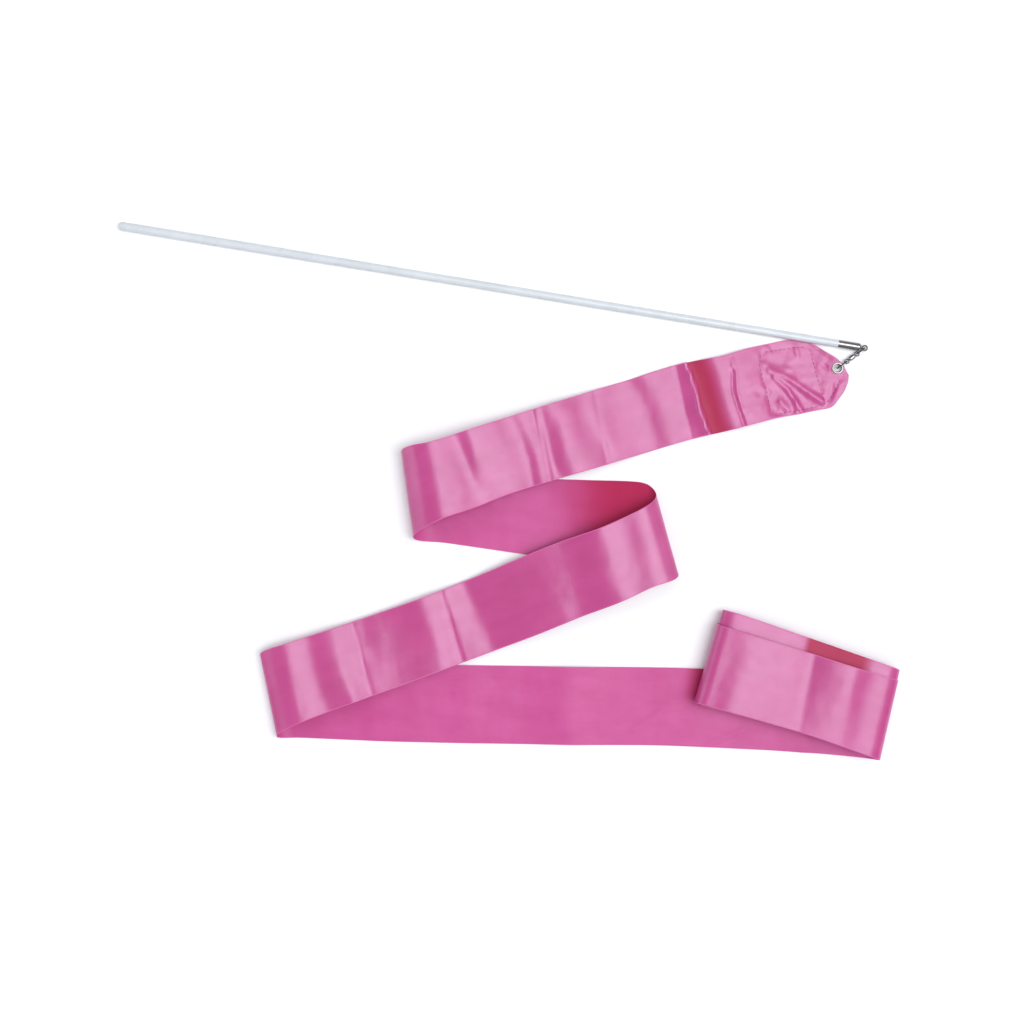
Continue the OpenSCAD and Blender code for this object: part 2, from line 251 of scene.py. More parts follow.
def cloth_material(name, tones, roughness, shine, sheen):
    """Woven satin. tones are its dark, middle and light pinks."""
    s = Shader(name)
    cloth = s.add("ShaderNodeUVMap", uv_map=CLOTH_MAP).outputs["UV"]
    split = s.add("ShaderNodeSeparateXYZ")
    s.link(cloth, split.inputs[0])
    across = split.outputs["X"]

    # Long warp threads, with slow changes of dye and finer streaks from thread to thread
    slow = s.noise(s.stretched(cloth, (1.3, 0.5, 1)), 3.0, 3)
    streaks = s.noise(s.stretched(cloth, (160, 1.2, 1)), 2.0, 2)
    picks = s.noise(s.stretched(cloth, (1.5, 110, 1)), 2.0, 2)
    shade = s.math("ADD", s.math("MULTIPLY", slow, 0.62), s.math("MULTIPLY", streaks, 0.2))
    shade = s.math("ADD", shade, s.math("MULTIPLY", picks, 0.18))
    colour = s.ramp(shade, [(0.32, tones[0]), (0.5, tones[1]), (0.68, tones[2])])

    # The selvage is a narrow, closer woven band along both edges
    from_middle = s.math("ABSOLUTE", s.math("SUBTRACT", across, 0.5))
    edge = s.math("MULTIPLY", s.math("SUBTRACT", from_middle, SELVAGE_AT), 160, clamp=True)
    colour = s.mix(edge, colour, SELVAGE_TONE)
    # Painted shade: cloth deep inside a fold is lit only by cloth, so a crimson tone is painted there
    painted_fold_shade = s.add("ShaderNodeAttribute", attribute_name=FOLD_SHADE_MAP).outputs["Fac"]
    colour = s.mix(painted_fold_shade, colour, FOLD_SHADE_TONE)
    s.link(colour, s.bsdf.inputs["Base Color"])

    patchy = s.noise(s.stretched(cloth, (3, 2, 1)), 2.5, 3)
    rough = s.spread(patchy, roughness - 0.05, roughness + 0.07)
    rough = s.math("ADD", rough, s.math("MULTIPLY", edge, 0.18))
    rough = s.math("ADD", rough, s.math("MULTIPLY", painted_fold_shade, 0.4), clamp=True)
    s.link(rough, s.bsdf.inputs["Roughness"])

    # Threads: fine ribs along the ribbon, crossed by the weft's faint ones
    warp = s.add("ShaderNodeTexWave", wave_type="BANDS", bands_direction="X", wave_profile="SIN")
    warp.inputs["Scale"].default_value = 60
    warp.inputs["Distortion"].default_value = 0.6
    s.link(cloth, warp.inputs["Vector"])
    weft = s.add("ShaderNodeTexWave", wave_type="BANDS", bands_direction="Y", wave_profile="SIN")
    weft.inputs["Scale"].default_value = 44
    weft.inputs["Distortion"].default_value = 0.8
    s.link(cloth, weft.inputs["Vector"])
    weave = s.math("ADD", s.math("MULTIPLY", warp.outputs["Fac"], 0.6),
                   s.math("MULTIPLY", weft.outputs["Fac"], 0.4))
    threads = s.bump(weave, 0.00003, 0.35)
    ripples = s.noise(s.stretched(cloth, (1.2, 1.6, 1)), 2.6, 1, 0.4)
    surface = s.bump(ripples, 0.0007, 0.4, under=threads)
    s.link(surface, s.bsdf.inputs["Normal"])

    tangent = s.add("ShaderNodeTangent", direction_type="UV_MAP", uv_map=CLOTH_MAP)
    s.link(tangent.outputs["Tangent"], s.bsdf.inputs["Tangent"])
    s.fixed(Anisotropic=0.75, IOR=1.5, Specular_IOR_Level=shine, Specular_Tint=(0.86, 0.9, 1, 1),
            Sheen_Weight=sheen, Sheen_Roughness=0.35, Sheen_Tint=(1, 0.72, 0.86, 1))
    return s.material


def thread_material():
    s = Shader("sewing_thread")
    place = s.add("ShaderNodeTexCoord").outputs["Object"]
    twist = s.add("ShaderNodeTexWave", wave_type="BANDS", bands_direction="DIAGONAL")
    twist.inputs["Scale"].default_value = 900
    s.link(place, twist.inputs["Vector"])
    colour = s.mix(twist.outputs["Fac"], (0.30, 0.012, 0.11), (0.42, 0.03, 0.18))
    s.link(colour, s.bsdf.inputs["Base Color"])
    s.link(s.bump(twist.outputs["Fac"], 0.00006, 0.7), s.bsdf.inputs["Normal"])
    s.fixed(Roughness=0.55, Sheen_Weight=0.3, Sheen_Roughness=0.4)
    return s.material


def metal_material(name, dark, light, roughness):
    """Drawn or plated metal with fine lines, smudges and edges worn brighter."""
    s = Shader(name)
    place = s.add("ShaderNodeTexCoord").outputs["Object"]
    lines = s.noise(s.stretched(place, (40, 900, 900)), 6.0, 3, 0.6)
    smudge = s.noise(place, 700, 3)
    colour = s.ramp(s.math("ADD", s.math("MULTIPLY", lines, 0.5), s.math("MULTIPLY", smudge, 0.5)),
                    [(0.35, dark), (0.65, light)])
    worn = s.add("ShaderNodeNewGeometry").outputs["Pointiness"]
    worn = s.math("MULTIPLY", s.math("SUBTRACT", worn, 0.53), 7, clamp=True)
    colour = s.mix(worn, colour, tuple(min(1, c * 1.35 + 0.05) for c in light))
    s.link(colour, s.bsdf.inputs["Base Color"])
    s.link(s.spread(smudge, roughness - 0.05, roughness + 0.12), s.bsdf.inputs["Roughness"])
    s.link(s.bump(lines, 0.00001, 0.5), s.bsdf.inputs["Normal"])
    s.fixed(Metallic=1.0)
    return s.material


def eyelet_material():
    """Nickel with a painted highlight as a light band on the rolled rim, painted shade near-black inside
    the hole, and dull again at the outer edge.
    """
    s = Shader("eyelet_nickel")
    place = s.add("ShaderNodeTexCoord").outputs["Object"]
    split = s.add("ShaderNodeSeparateXYZ")
    s.link(place, split.inputs[0])
    east = s.math("SUBTRACT", split.outputs["X"], EYELET_MIDDLE.x)
    north = s.math("SUBTRACT", split.outputs["Y"], EYELET_MIDDLE.y)
    squares = s.math("ADD", s.math("MULTIPLY", east, east), s.math("MULTIPLY", north, north))
    reach = s.math("SQRT", squares)
    ring = s.math("DIVIDE", reach, FLANGE_R * MM)
    smudge = s.noise(place, 900, 3)
    # Painted shade: the darkest tone fills the hole; painted highlight: the lightest band lies on the
    # rolled rim
    dull, dark, painted_rim_highlight = (0.10, 0.095, 0.09), (0.02, 0.019, 0.018), (0.34, 0.33, 0.33)
    colour = s.ramp(ring, [(0.66, dark), (0.78, dull), (0.83, painted_rim_highlight), (0.91, painted_rim_highlight), (0.95, dull)])
    colour = s.mix(s.math("MULTIPLY", smudge, 0.5), colour, dull)
    s.link(colour, s.bsdf.inputs["Base Color"])
    s.link(s.spread(smudge, 0.22, 0.42), s.bsdf.inputs["Roughness"])
    s.fixed(Metallic=1.0)
    return s.material


def plastic_material(name, low, high, roughness, flow=(12, 300, 300)):
    """Extruded or moulded plastic with faint flow lines, fine scuffs and dulled patches."""
    s = Shader(name)
    place = s.add("ShaderNodeTexCoord").outputs["Object"]
    flow_lines = s.noise(s.stretched(place, flow), 5.0, 3, 0.55)
    patches = s.noise(place, 45, 3)
    scuffs = s.noise(s.stretched(place, (160, 420, 420)), 4.0, 5, 0.7)
    scuffs = s.math("MULTIPLY", s.math("SUBTRACT", scuffs, 0.6), 6, clamp=True)
    shade = s.math("ADD", s.math("MULTIPLY", flow_lines, 0.4), s.math("MULTIPLY", patches, 0.6))
    colour = s.ramp(shade, [(0.35, low), (0.65, high)])
    colour = s.mix(s.math("MULTIPLY", scuffs, 0.25), colour, tuple(c * 0.86 for c in low))
    s.link(colour, s.bsdf.inputs["Base Color"])
    rough = s.spread(patches, roughness - 0.06, roughness + 0.08)
    rough = s.math("ADD", rough, s.math("MULTIPLY", scuffs, 0.2))
    s.link(rough, s.bsdf.inputs["Roughness"])
    s.link(s.bump(flow_lines, 0.00002, 0.5), s.bsdf.inputs["Normal"])
    s.fixed(IOR=1.49, Coat_Weight=0.15, Coat_Roughness=0.12)
    return s.material


def floor_material():
    s = Shader("pale_floor")
    place = s.add("ShaderNodeTexCoord").outputs["Object"]
    mottle = s.noise(place, 3, 3)
    s.link(s.ramp(mottle, [(0.3, (0.93, 0.93, 0.935)), (0.7, (0.95, 0.95, 0.955))]),
           s.bsdf.inputs["Base Color"])
    s.fixed(Roughness=0.9, Specular_IOR_Level=0.2)
    return s.material


# ---------------------------------------------------------------------------------------------
# The ribbon's path
# ---------------------------------------------------------------------------------------------
CLOTH_T = 0.3
# The layout is drawn from the stick's very end, which lies this far along X
PLAN_X = -6.0

front_low, front_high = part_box("eyelet_front")
EYELET_MIDDLE = (front_low + front_high) / 2
EYELET = (EYELET_MIDDLE.x / MM - PLAN_X, EYELET_MIDDLE.y / MM)
FLANGE_R = (front_high.x - front_low.x) / 2 / MM

# Lines across the ribbon: north edge x, y, height, then south edge x, y, height.
# The sewn end starts at its nose
SEWN_END = [
    (477.9, -18.9, 2.0, 478.1, -23.2, 1.9),
    (475.9, -16.6, 2.1, 477.0, -28.5, 1.6),
    (473.4, -13.0, 2.1, 474.8, -33.5, 1.3),
    (468.6, -9.4, 2.0, 472.0, -39.0, 1.0),
    (461.0, -6.2, 1.5, 468.5, -41.8, 0.9),
    (453.0, -2.9, 0.9, 463.5, -43.6, 0.9),
    (445.5, -1.6, 0.6, 456.5, -46.2, 0.9),
    (437.3, -2.3, 0.6, 449.5, -48.9, 1.2),
    (425.0, -6.6, 0.8, 438.0, -53.0, 1.0),
    (412.8, -11.5, 0.8, 426.5, -58.0, 0.8),
]
RUNS = [
    [
        (395.0, -20.2, 0.3, 410.5, -65.2, 0.3),
        (370.0, -29.0, 0.3, 386.5, -75.0, 0.3),
        (339.9, -44.0, 0.5, 357.0, -89.3, 0.5),
        (311.6, -58.2, 2.5, 328.0, -103.6, 2.0),
        (285.0, -71.8, 6.5, 301.5, -116.3, 6.0),
        (258.0, -85.6, 12, 275.0, -129.5, 11.5),
        (236.0, -97.2, 17, 253.5, -142.5, 17),
        (220.5, -105.3, 20, 238.5, -150.0, 21),
    ],
    [
        (220.0, -121.5, 0.3, 236.0, -167.0, 0.3),
        (250.0, -119.5, 0.3, 264.0, -166.4, 0.3),
        (290.0, -116.6, 0.3, 303.0, -165.3, 0.3),
        (331.4, -111.2, 0.3, 343.0, -160.0, 0.3),
        (354.4, -108.2, 0.8, 368.5, -156.8, 0.8),
        (360.5, -107.8, 1.5, 374.0, -156.0, 1.5),
    ],
    [
        (357.5, -126.5, 17, 376.0, -171.5, 17),
        (338.2, -139.6, 14.5, 357.5, -184.5, 14.5),
        (312.0, -154.0, 10.5, 331.5, -200.0, 10),
        (288.7, -168.3, 7.0, 308.5, -214.4, 6.5),
        (262.0, -185.4, 3.8, 281.0, -230.6, 3.6),
        (229.4, -204.6, 1.6, 248.0, -249.3, 2.4),
        (205.0, -218.0, 2.0, 223.0, -263.6, 4.0),
        (181.8, -230.3, 4.5, 199.5, -276.2, 7.5),
        (162.0, -240.3, 8, 181.0, -286.5, 11.5),
        (150.5, -246.2, 11.5, 168.5, -293.5, 14),
    ],
    [
        (149.0, -260.5, 0.3, 166.0, -305.8, 0.3),
        (200.0, -252.3, 0.3, 213.0, -300.2, 0.3),
        (268.1, -241.9, 0.3, 276.5, -291.4, 0.3),
        (340.0, -231.1, 0.3, 347.0, -280.8, 0.3),
        (408.1, -220.9, 0.3, 414.5, -270.6, 0.3),
        (455.0, -215.5, 0.3, 459.5, -265.6, 0.3),
        (500.0, -211.6, 0.5, 502.0, -261.4, 0.3),
        (529.0, -209.4, 1.0, 527.5, -259.7, 0.6),
    ],
    [
        (528.5, -204.8, 15.5, 525.5, -256.1, 15.5),
        (500.0, -200.8, 16.8, 496.5, -250.6, 16.8),
        (470.0, -196.5, 16.8, 465.0, -246.3, 16.8),
        (440.0, -192.3, 17.2, 432.5, -242.3, 17.2),
        (425.0, -190.3, 17.6, 418.5, -240.8, 17.6),
    ],
]
# How far each turn bulges out of the line between its two runs: north x, y, then south x, y
TURNS = [
    (-17.7, -0.4, -18.3, -7.8),
    (9.0, 1.6, 15.5, 1.2),
    (-15.9, -3.2, -14.2, -6.7),
    (10.8, 0.4, 9.8, -0.8),
    (-6.9, 0.8, -6.4, -0.9),
]

# Wraps inside the bundle: how far each one's left and right ends are shifted north
WRAP_SHIFTS = [(1.0, 2.0), (10.8, 8.0), (10.2, 5.0), (-1.5, 3.0), (-1.7, 1.0), (2.0, 2.0)]
WRAP_LEFT = (426.0, -190.5, 419.5, -240.8)
WRAP_RIGHT = (528.0, -205.2, 525.5, -255.6)
WRAP_HEIGHTS = [1.6, 14.3, 3.0, 12.9, 4.4, 11.5]
WRAP_SAG = 1.2
WRAP_INSET = 1.3
WRAP_BULGE_EAST = 12.0
WRAP_BULGE_WEST = -6.2

# Labels of the lines across the ribbon: these, and on the runs their numbers, 1 to 5
SEWN = 0
TURNING = -1
FIRST_WRAP = 6
# Steps of the path from one drawn line to the next
END_STEPS = 12
RUN_STEPS = 20
TURN_STEPS = 40
WRAP_TURN_STEPS = 16
# Spacing of the mesh's lines along the ribbon
SPACING = {SEWN: 1.0, TURNING: 1.1}
RUN_SPACING = 1.7
WRAP_SPACING = 4.0

# Waves of each run: how strongly the surface leans to the light (above 0) or away from it
# (below 0) at places along x, which LEAN_SLOPE turns into slopes
LEANS = {
    1: [
        (216, -0.7), (222, 0.3), (236, 0.9), (243, 0.6), (249, -2.4), (254, -2.2), (258, -0.5),
        (263, -0.4), (271, 0.8), (275, 0.0), (280, -2.2), (285, -0.9), (291, 0.8), (298, -2.1),
        (303, -1.2), (308, 0.2), (315, 0.9), (323, 0.6), (326, -0.8), (330, 0.7), (339, 1.0),
        (348, 0.3), (356, -1.3), (364, 0.0), (371, 0.3), (376, -0.3), (383, 0.9), (387, 0.5),
        (392, 0.0), (405, 0.2), (412, -0.3), (420, 0.5),
    ],
    2: [
        (240, -0.2), (262, 0.1), (285, 0.35), (310, 0.0), (335, -0.2), (350, -0.3),
    ],
    3: [
        (152, -0.5), (156, 0.4), (160, 0.5), (165, -0.4), (173, -1.3), (183, -1.3), (189, -1.2),
        (194, 0.6), (196, 0.8), (198, 0.5), (201, 0.3), (206, -0.9), (214, -0.5), (222, -0.7),
        (234, -0.6), (240, 0.2), (245, 0.9), (250, 0.5), (256, 1.0), (265, 0.9), (271, -0.6),
        (287, -0.4), (308, 0.05), (322, 0.7), (333, -0.8), (340, -0.2), (350, 0.9), (362, 0.6),
        (369, -0.4), (374, 0.5),
    ],
    4: [
        (175, 0.2), (205, -0.3), (240, 0.15), (262, -0.1), (276, 0.3), (290, 0.0), (325, -0.6),
        (333, -0.8), (337, 0.8), (352, 0.5), (380, 0.0), (400, -0.3), (440, 0.4), (462, 0.5),
        (470, -0.7), (481, -0.6), (484, 0.7), (500, 0.2),
    ],
    5: [
        (424, 0.8), (430, 1.1), (436, 1.0), (442, 0.8), (455, 0.9), (476, 0.9), (479, 0.8),
        (481, -1.0), (493, -0.9), (502, -0.8), (507, 0.0), (511, 0.2), (530, 0.1),
    ],
}
LEAN_SLOPE = {1: 0.19, 2: 0.08, 3: 0.21, 4: 0.15, 5: 0.2}
# How much further east the waves lie at the south edge, and west at the north edge, than
# straight across the cloth
WAVE_SKEW = {1: 4.5, 2: 0.0, 3: 2.0, 4: 0.0, 5: 0.5}
# How far the waves wander to either side of that line
WAVE_WANDER = {1: 4, 2: 4, 3: 4, 4: 4, 5: 1.5}
# The waves grow to their full height over this distance from a run's ends
WAVE_FADE = 22
# The first run's waves end before the stitches, and fade over this distance
WAVES_END = 418
WAVES_END_FADE = 25
# Steps that the waves are worked out in, how far a change of lean is rounded, the width of the
# level that the waves swing about, and how much they lift the cloth
FINE = 0.25
LEAN_ROUNDING = 1.6
LEVEL_WIDTH = 34
WAVE_LIFT = 1.7

# Creases over the whole width: run, x at the middle, how far they slant east from north to south
# beyond straight across, height, width
CREASES = [
    (1, 291.5, 0.0, 0.9, 1.3),
    (1, 326.0, 0.0, -0.5, 1.2),
    (1, 376.0, 1.0, -0.5, 1.3),
    (3, 199.0, 2.5, -0.5, 1.2),
    (3, 252.5, 2.5, -0.7, 1.2),
]


def ease(w):
    return (1 - np.cos(np.pi * np.clip(w, 0, 1))) / 2


def through(points, per_gap):
    """A smooth curve through rows of numbers, per_gap steps from one row to the next."""
    p = np.array(points, float)
    gaps = np.linalg.norm(np.diff(p[:, :2], axis=0), axis=1)
    at = np.concatenate([[0], np.cumsum(gaps)])
    slopes = np.gradient(p, at, axis=0)
    rows = []
    for i, gap in enumerate(gaps):
        w = np.arange(per_gap)[:, None] / per_gap
        rows.append(
            (2 * w**3 - 3 * w**2 + 1) * p[i]
            + (w**3 - 2 * w**2 + w) * gap * slopes[i]
            + (-2 * w**3 + 3 * w**2) * p[i + 1]
            + (w**3 - w**2) * gap * slopes[i + 1]
        )
    rows.append(p[-1:])
    return np.concatenate(rows)


def turn(start, end, bulge, steps):
    """Half a turn from one line across the ribbon to the next, without its two ends."""
    start, end = np.array(start, float), np.array(end, float)
    rows = []
    for i in range(1, steps):
        w = i / steps
        row = start + (end - start) * w
        out = math.sin(math.pi * w)
        row[0] += bulge[0] * out
        row[1] += bulge[1] * out
        row[3] += bulge[2] * out
        row[4] += bulge[3] * out
        for k in (2, 5):
            row[k] = start[k] + (end[k] - start[k]) * (1 - math.cos(math.pi * w)) / 2
        rows.append(row)
    return np.array(rows)


def wrap_lines():
    """The lines across the ribbon at both ends of each wrap inside the bundle."""
    wraps = []
    for k, (left_shift, right_shift) in enumerate(WRAP_SHIFTS):
        inset = WRAP_INSET * (k // 2 + (k % 2) * 0.5)
        height = WRAP_HEIGHTS[k]
        left = (WRAP_LEFT[0] + inset, WRAP_LEFT[1] + left_shift, height,
                WRAP_LEFT[2] + inset, WRAP_LEFT[3] + left_shift, height)
        right = (WRAP_RIGHT[0] - inset, WRAP_RIGHT[1] + right_shift, height,
                 WRAP_RIGHT[2] - inset, WRAP_RIGHT[3] + right_shift, height)
        middle = np.array([left, right]).mean(0)
        middle[[2, 5]] -= WRAP_SAG * (k % 2)
        wraps.append([left, middle, right] if k % 2 == 0 else [right, middle, left])
    return wraps


def whole_path():
    """All lines across the ribbon from the sewn end to the free end, each with its label."""
    rows = [through(SEWN_END + [RUNS[0][0]], END_STEPS)[:-1]]
    labels = [np.full(len(rows[0]), SEWN)]
    wraps = wrap_lines()
    for number, run in enumerate(RUNS, 1):
        rows.append(through(run, RUN_STEPS))
        labels.append(np.full(len(rows[-1]), number))
        following = RUNS[number][0] if number < len(RUNS) else wraps[0][0]
        rows.append(turn(run[-1], following, TURNS[number - 1], TURN_STEPS))
        labels.append(np.full(len(rows[-1]), TURNING))
    for k, wrap in enumerate(wraps):
        rows.append(through(wrap, RUN_STEPS))
        labels.append(np.full(len(rows[-1]), FIRST_WRAP + k))
        if k + 1 < len(wraps):
            bulge = WRAP_BULGE_EAST if k % 2 == 0 else WRAP_BULGE_WEST
            rows.append(turn(wrap[-1], wraps[k + 1][0], (bulge, 0, bulge, 0), WRAP_TURN_STEPS))
            labels.append(np.full(len(rows[-1]), TURNING))
    return np.concatenate(rows), np.concatenate(labels)


def line_spacing(label):
    return SPACING.get(label, RUN_SPACING if label < FIRST_WRAP else WRAP_SPACING)


def evenly(rows, labels):
    """The path again with even spacing on each kind of stretch."""
    centre = (rows[:, :3] + rows[:, 3:]) / 2
    gaps = np.linalg.norm(np.diff(centre, axis=0), axis=1)
    at = np.concatenate([[0], np.cumsum(gaps)])
    places = [0.0]
    while places[-1] < at[-1]:
        here = int(labels[min(np.searchsorted(at, places[-1]), len(labels) - 1)])
        places.append(places[-1] + line_spacing(here))
    places = np.array(places[:-1] + [at[-1]])
    even = np.stack([np.interp(places, at, rows[:, k]) for k in range(6)], axis=1)
    nearest = np.clip(np.searchsorted(at, places), 0, len(labels) - 1)
    return even, labels[nearest], places


# Columns of points across the ribbon, from -1 at the north edge to 1 at the south edge
COLUMNS = 36
EDGE_COLUMNS = [-1, -0.985, -0.96]
INNER_COLUMNS_TO = 0.92


def column_places():
    inner = np.linspace(-INNER_COLUMNS_TO, INNER_COLUMNS_TO, COLUMNS - 2 * len(EDGE_COLUMNS))
    return np.concatenate([EDGE_COLUMNS, inner, [-v for v in reversed(EDGE_COLUMNS)]])


def bell(width, reach):
    """Weights of a bell curve, reach steps of FINE to either side."""
    weights = np.exp(-0.5 * (np.arange(-reach, reach + 1) * FINE / width) ** 2)
    return weights / weights.sum()


def running_mean(values, weights):
    return np.convolve(np.pad(values, len(weights) // 2, "edge"), weights, "valid")


def waves(x, number):
    """Height of the soft waves on a run, from where it leans to the light."""
    leans = LEANS[number]
    first, last = leans[0][0], leans[-1][0]
    fine = np.arange(first - 30, last + 30, FINE)
    lean = np.interp(fine, [p for p, _ in leans], [a for _, a in leans])
    lean = np.where((fine < first) | (fine > last), 0, lean)
    lean = np.convolve(lean, bell(LEAN_ROUNDING, 24), "same")
    height = -np.cumsum(lean) * FINE * LEAN_SLOPE[number]
    wide = bell(LEVEL_WIDTH, 320)
    height = height - running_mean(height, wide)
    # The cloth rests on what is under it, so a deeper swing also lies higher
    height = height + WAVE_LIFT * running_mean(np.abs(height), wide)
    return np.interp(x, fine, height)


def wandering(x, y, seed, size, octaves=3):
    """Smooth seeded variation over the plane, mostly between -1 and 1."""
    draw = np.random.default_rng(seed)
    total = np.zeros_like(x)
    for octave in range(octaves):
        for _ in range(4):
            angle, phase = draw.uniform(0, 2 * math.pi, 2)
            k = 2 * math.pi / size * 1.7**octave
            total += np.sin((x * math.cos(angle) + y * math.sin(angle)) * k + phase) / 1.8**octave
    return total / 4


def ridge(px, py, points, height, width):
    """A ridge or, with a negative height, a groove along a line of points in the plane."""
    total = np.zeros_like(px)
    points = np.array(points, float)
    for a, b in zip(points[:-1], points[1:]):
        d = b - a
        t = np.clip(((px - a[0]) * d[0] + (py - a[1]) * d[1]) / (d @ d), 0, 1)
        off = np.hypot(px - a[0] - t * d[0], py - a[1] - t * d[1])
        total = np.maximum(total, np.exp(-((off / width) ** 2)))
    return total * height


# Stitch rows on the sewn end, as points in the plane
INNER_ROW = [(419.9, -14), (420.4, -21.7), (424.6, -32), (429.3, -42.1), (432.6, -51)]
OUTER_ROW = [(449.8, -4.2), (453.2, -12), (456.6, -19.6), (461.3, -29), (465.6, -38.4)]
EDGE_ROWS = [
    [(421.5, -13.2), (431, -10), (440.7, -6.9), (448, -5.2)],
    [(436.5, -51.0), (449, -46.6), (463.2, -41.2)],
]
TAPER_ROWS = [
    [(452.6, -5.2), (459.5, -7.9), (465.4, -11.0)],
    [(473.6, -20.6), (470.7, -30.2), (468.3, -35.9), (466.2, -39.2)],
]
# Wrinkles of the sewn end: points, height, width
WRINKLES = [
    ([(427, -24), (436, -25.6), (446.3, -30.2), (464.5, -38.4)], 1.3, 1.9),
    ([(430.7, -27.9), (440.8, -34.1), (452, -46.3)], 1.2, 1.5),
    ([(446, -34), (455, -42)], -0.8, 3.2),
    ([(421, -20.5), (432, -21.5), (440, -21)], 0.5, 1.1),
    ([(435.6, -9), (435.9, -16)], -0.6, 1.6),
    ([(441.5, -6.5), (444, -12)], 0.6, 1.6),
    ([(461.5, -15.2), (463.5, -16.5)], -0.8, 1.6),
    ([(460.4, -23), (461.2, -25)], -0.45, 1.2),
    ([(468.8, -27), (468.4, -34)], -0.6, 1.5),
    ([(431.5, -44), (435, -49)], -0.7, 2.4),
    ([(437, -42), (443.5, -47.5)], 0.7, 1.6),
    ([(424.5, -36), (429.5, -38.5)], 0.5, 1.5),
    ([(447, -41), (449, -48)], 0.5, 1.3),
    ([(423, -9.5), (426, -13)], 0.45, 1.3),
    ([(403.5, -28), (406, -41), (411.5, -52), (417, -62)], -0.9, 0.9),
    ([(405.8, -28), (408.3, -41), (413.8, -52)], 0.45, 0.9),
    ([(402.5, -22), (404, -27)], 0.4, 1.0),
]
# Slack creases on the fourth run
SLACK = [
    ([(377.7, -266.2), (394.7, -250.4), (415.1, -243.8)], 0.5, 1.0),
    ([(427.3, -266.6), (448.7, -254.0)], 0.7, 1.0),
    ([(424.5, -265.0), (446.0, -252.6)], -0.3, 1.2),
    ([(262.0, -262.0), (283.0, -252.0)], 0.35, 1.4),
]
# The deep fold just before the sewn end: a crest that drops steeply into a valley
CREST_AT = 384.6
CREST_HEIGHT = 3.8
CREST_RISE = 5.0
VALLEY_LEN = 17.0
CLIMB_HEIGHT = 3.4
# The deep fold, the wrinkles and the stitches lie east of NEAR_END. The sewn end is uneven all
# over from SEWN_AT on, which grows over SEWN_FADE
NEAR_END = 360
SEWN_AT = 408
SEWN_FADE = 12
# The eyelet holds the cloth flat within CLAMP_R, and lets it go over CLAMP_FADE
CLAMP_R = 4.2
CLAMP_FADE = 4.5
# How far the rows of stitches pull the cloth down
STITCH_DIP = -0.35


def fold_lean(v):
    """How far west of the crest's middle it lies at v across the ribbon."""
    return 0.7 * np.sin(3 * v) - 3.4 * v


def deep_fold(x):
    """Height along x of the crest and of the valley to the east of it."""
    rise = CREST_HEIGHT * np.exp(-np.clip(CREST_AT - x, 0, None) / CREST_RISE * 1.6)
    drop = CREST_HEIGHT * np.clip(1 - (x - CREST_AT) / 1.4, 0, 1)
    climb = CLIMB_HEIGHT * ease((x - CREST_AT - 1.0) / VALLEY_LEN) * ease((CREST_AT + 52 - x) / 30)
    return np.where(x < CREST_AT, rise, drop + climb)


def raised(points, labels):
    """Height of the waves, creases and wrinkles over the smooth strip of points."""
    v = column_places()[None, :]
    x, y = points[:, :, 0], points[:, :, 1]
    centre_x = x.mean(1, keepdims=True)
    lean_x = centre_x + np.zeros_like(x)
    height = np.zeros_like(x)
    for number in LEANS:
        # The first run goes on into the sewn end
        first = number == 1
        on_run = (labels == number)[:, None] | ((labels == SEWN)[:, None] & first)
        ends = centre_x[labels == number]
        low, high = ends.min(), ends.max()
        inside = ease((centre_x - low) / WAVE_FADE)
        inside = inside * (1 if first else ease((high - centre_x) / WAVE_FADE))
        skew = wandering(lean_x, v * 12 + number * 40, 5 + number, 60) * WAVE_WANDER[number]
        skew = skew - WAVE_SKEW[number] * v
        amount = 0.95 + 0.3 * wandering(lean_x, v * 25, 15 + number, 90, 1)
        flow = waves(lean_x + skew, number) * amount
        fade = ease((WAVES_END - lean_x) / WAVES_END_FADE) if first else 1
        height += np.where(on_run, flow * inside * fade, 0)
    for number, at, lean, tall, width in CREASES:
        on_run = (labels == number)[:, None]
        off = (lean_x - at - lean * v * 0.5) / width
        sharp = np.exp(-np.abs(off) ** 1.3)
        height += np.where(on_run, sharp * tall, 0)
    near = ((labels == SEWN) | (labels == 1))[:, None] & (lean_x > NEAR_END)
    bent = lean_x + fold_lean(v)
    height += np.where(near, deep_fold(bent), 0)
    sewn = ease((x - SEWN_AT) / SEWN_FADE) * near
    for line, tall, width in WRINKLES:
        height += np.where(near, ridge(x, y, line, tall, width), 0)
    for line, tall, width in SLACK:
        height += np.where((labels == 4)[:, None], ridge(x, y, line, tall, width), 0)
    for row in [INNER_ROW, OUTER_ROW] + EDGE_ROWS + TAPER_ROWS:
        height += np.where(near, ridge(x, y, row, STITCH_DIP, 1.0), 0)
    height += sewn * (0.28 * wandering(x, y, 3, 17) + 0.12 * wandering(x, y, 4, 7, 2))
    # Low stretches are a little uneven all over, and stretches held up high are not
    low_down = 1 - ease((points[:, :, 2].mean(1) - FLOOR - 10) / 8)[:, None]
    height += 0.12 * wandering(x, y, 8, 45) * (labels > 0)[:, None] * low_down
    # The eyelet clamps the cloth flat round itself
    away = np.hypot(x - EYELET[0], y - EYELET[1])
    height *= np.where(near, ease((away - CLAMP_R) / CLAMP_FADE), 1)
    return height


# Which run lies on which: the lower one, then the upper one
RESTING = [(2, 1), (2, 3), (4, 3)]
# From the middle of one layer to the middle of the next
LAYER_GAP = CLOTH_T + 0.12
# The least height of the cloth's middle, alone and where it is sewn double
LEAST_HEIGHT = CLOTH_T / 2 + 0.03
LEAST_SEWN_HEIGHT = 0.52
LEAST_MARGIN = 0.02
# Heights near the least are rounded off over LANDING, more sharply as LANDING_BEND grows
LANDING = 0.25
LANDING_BEND = 1.5
# Times that the runs and turns are smoothed along their length
PATH_SMOOTHING = 14


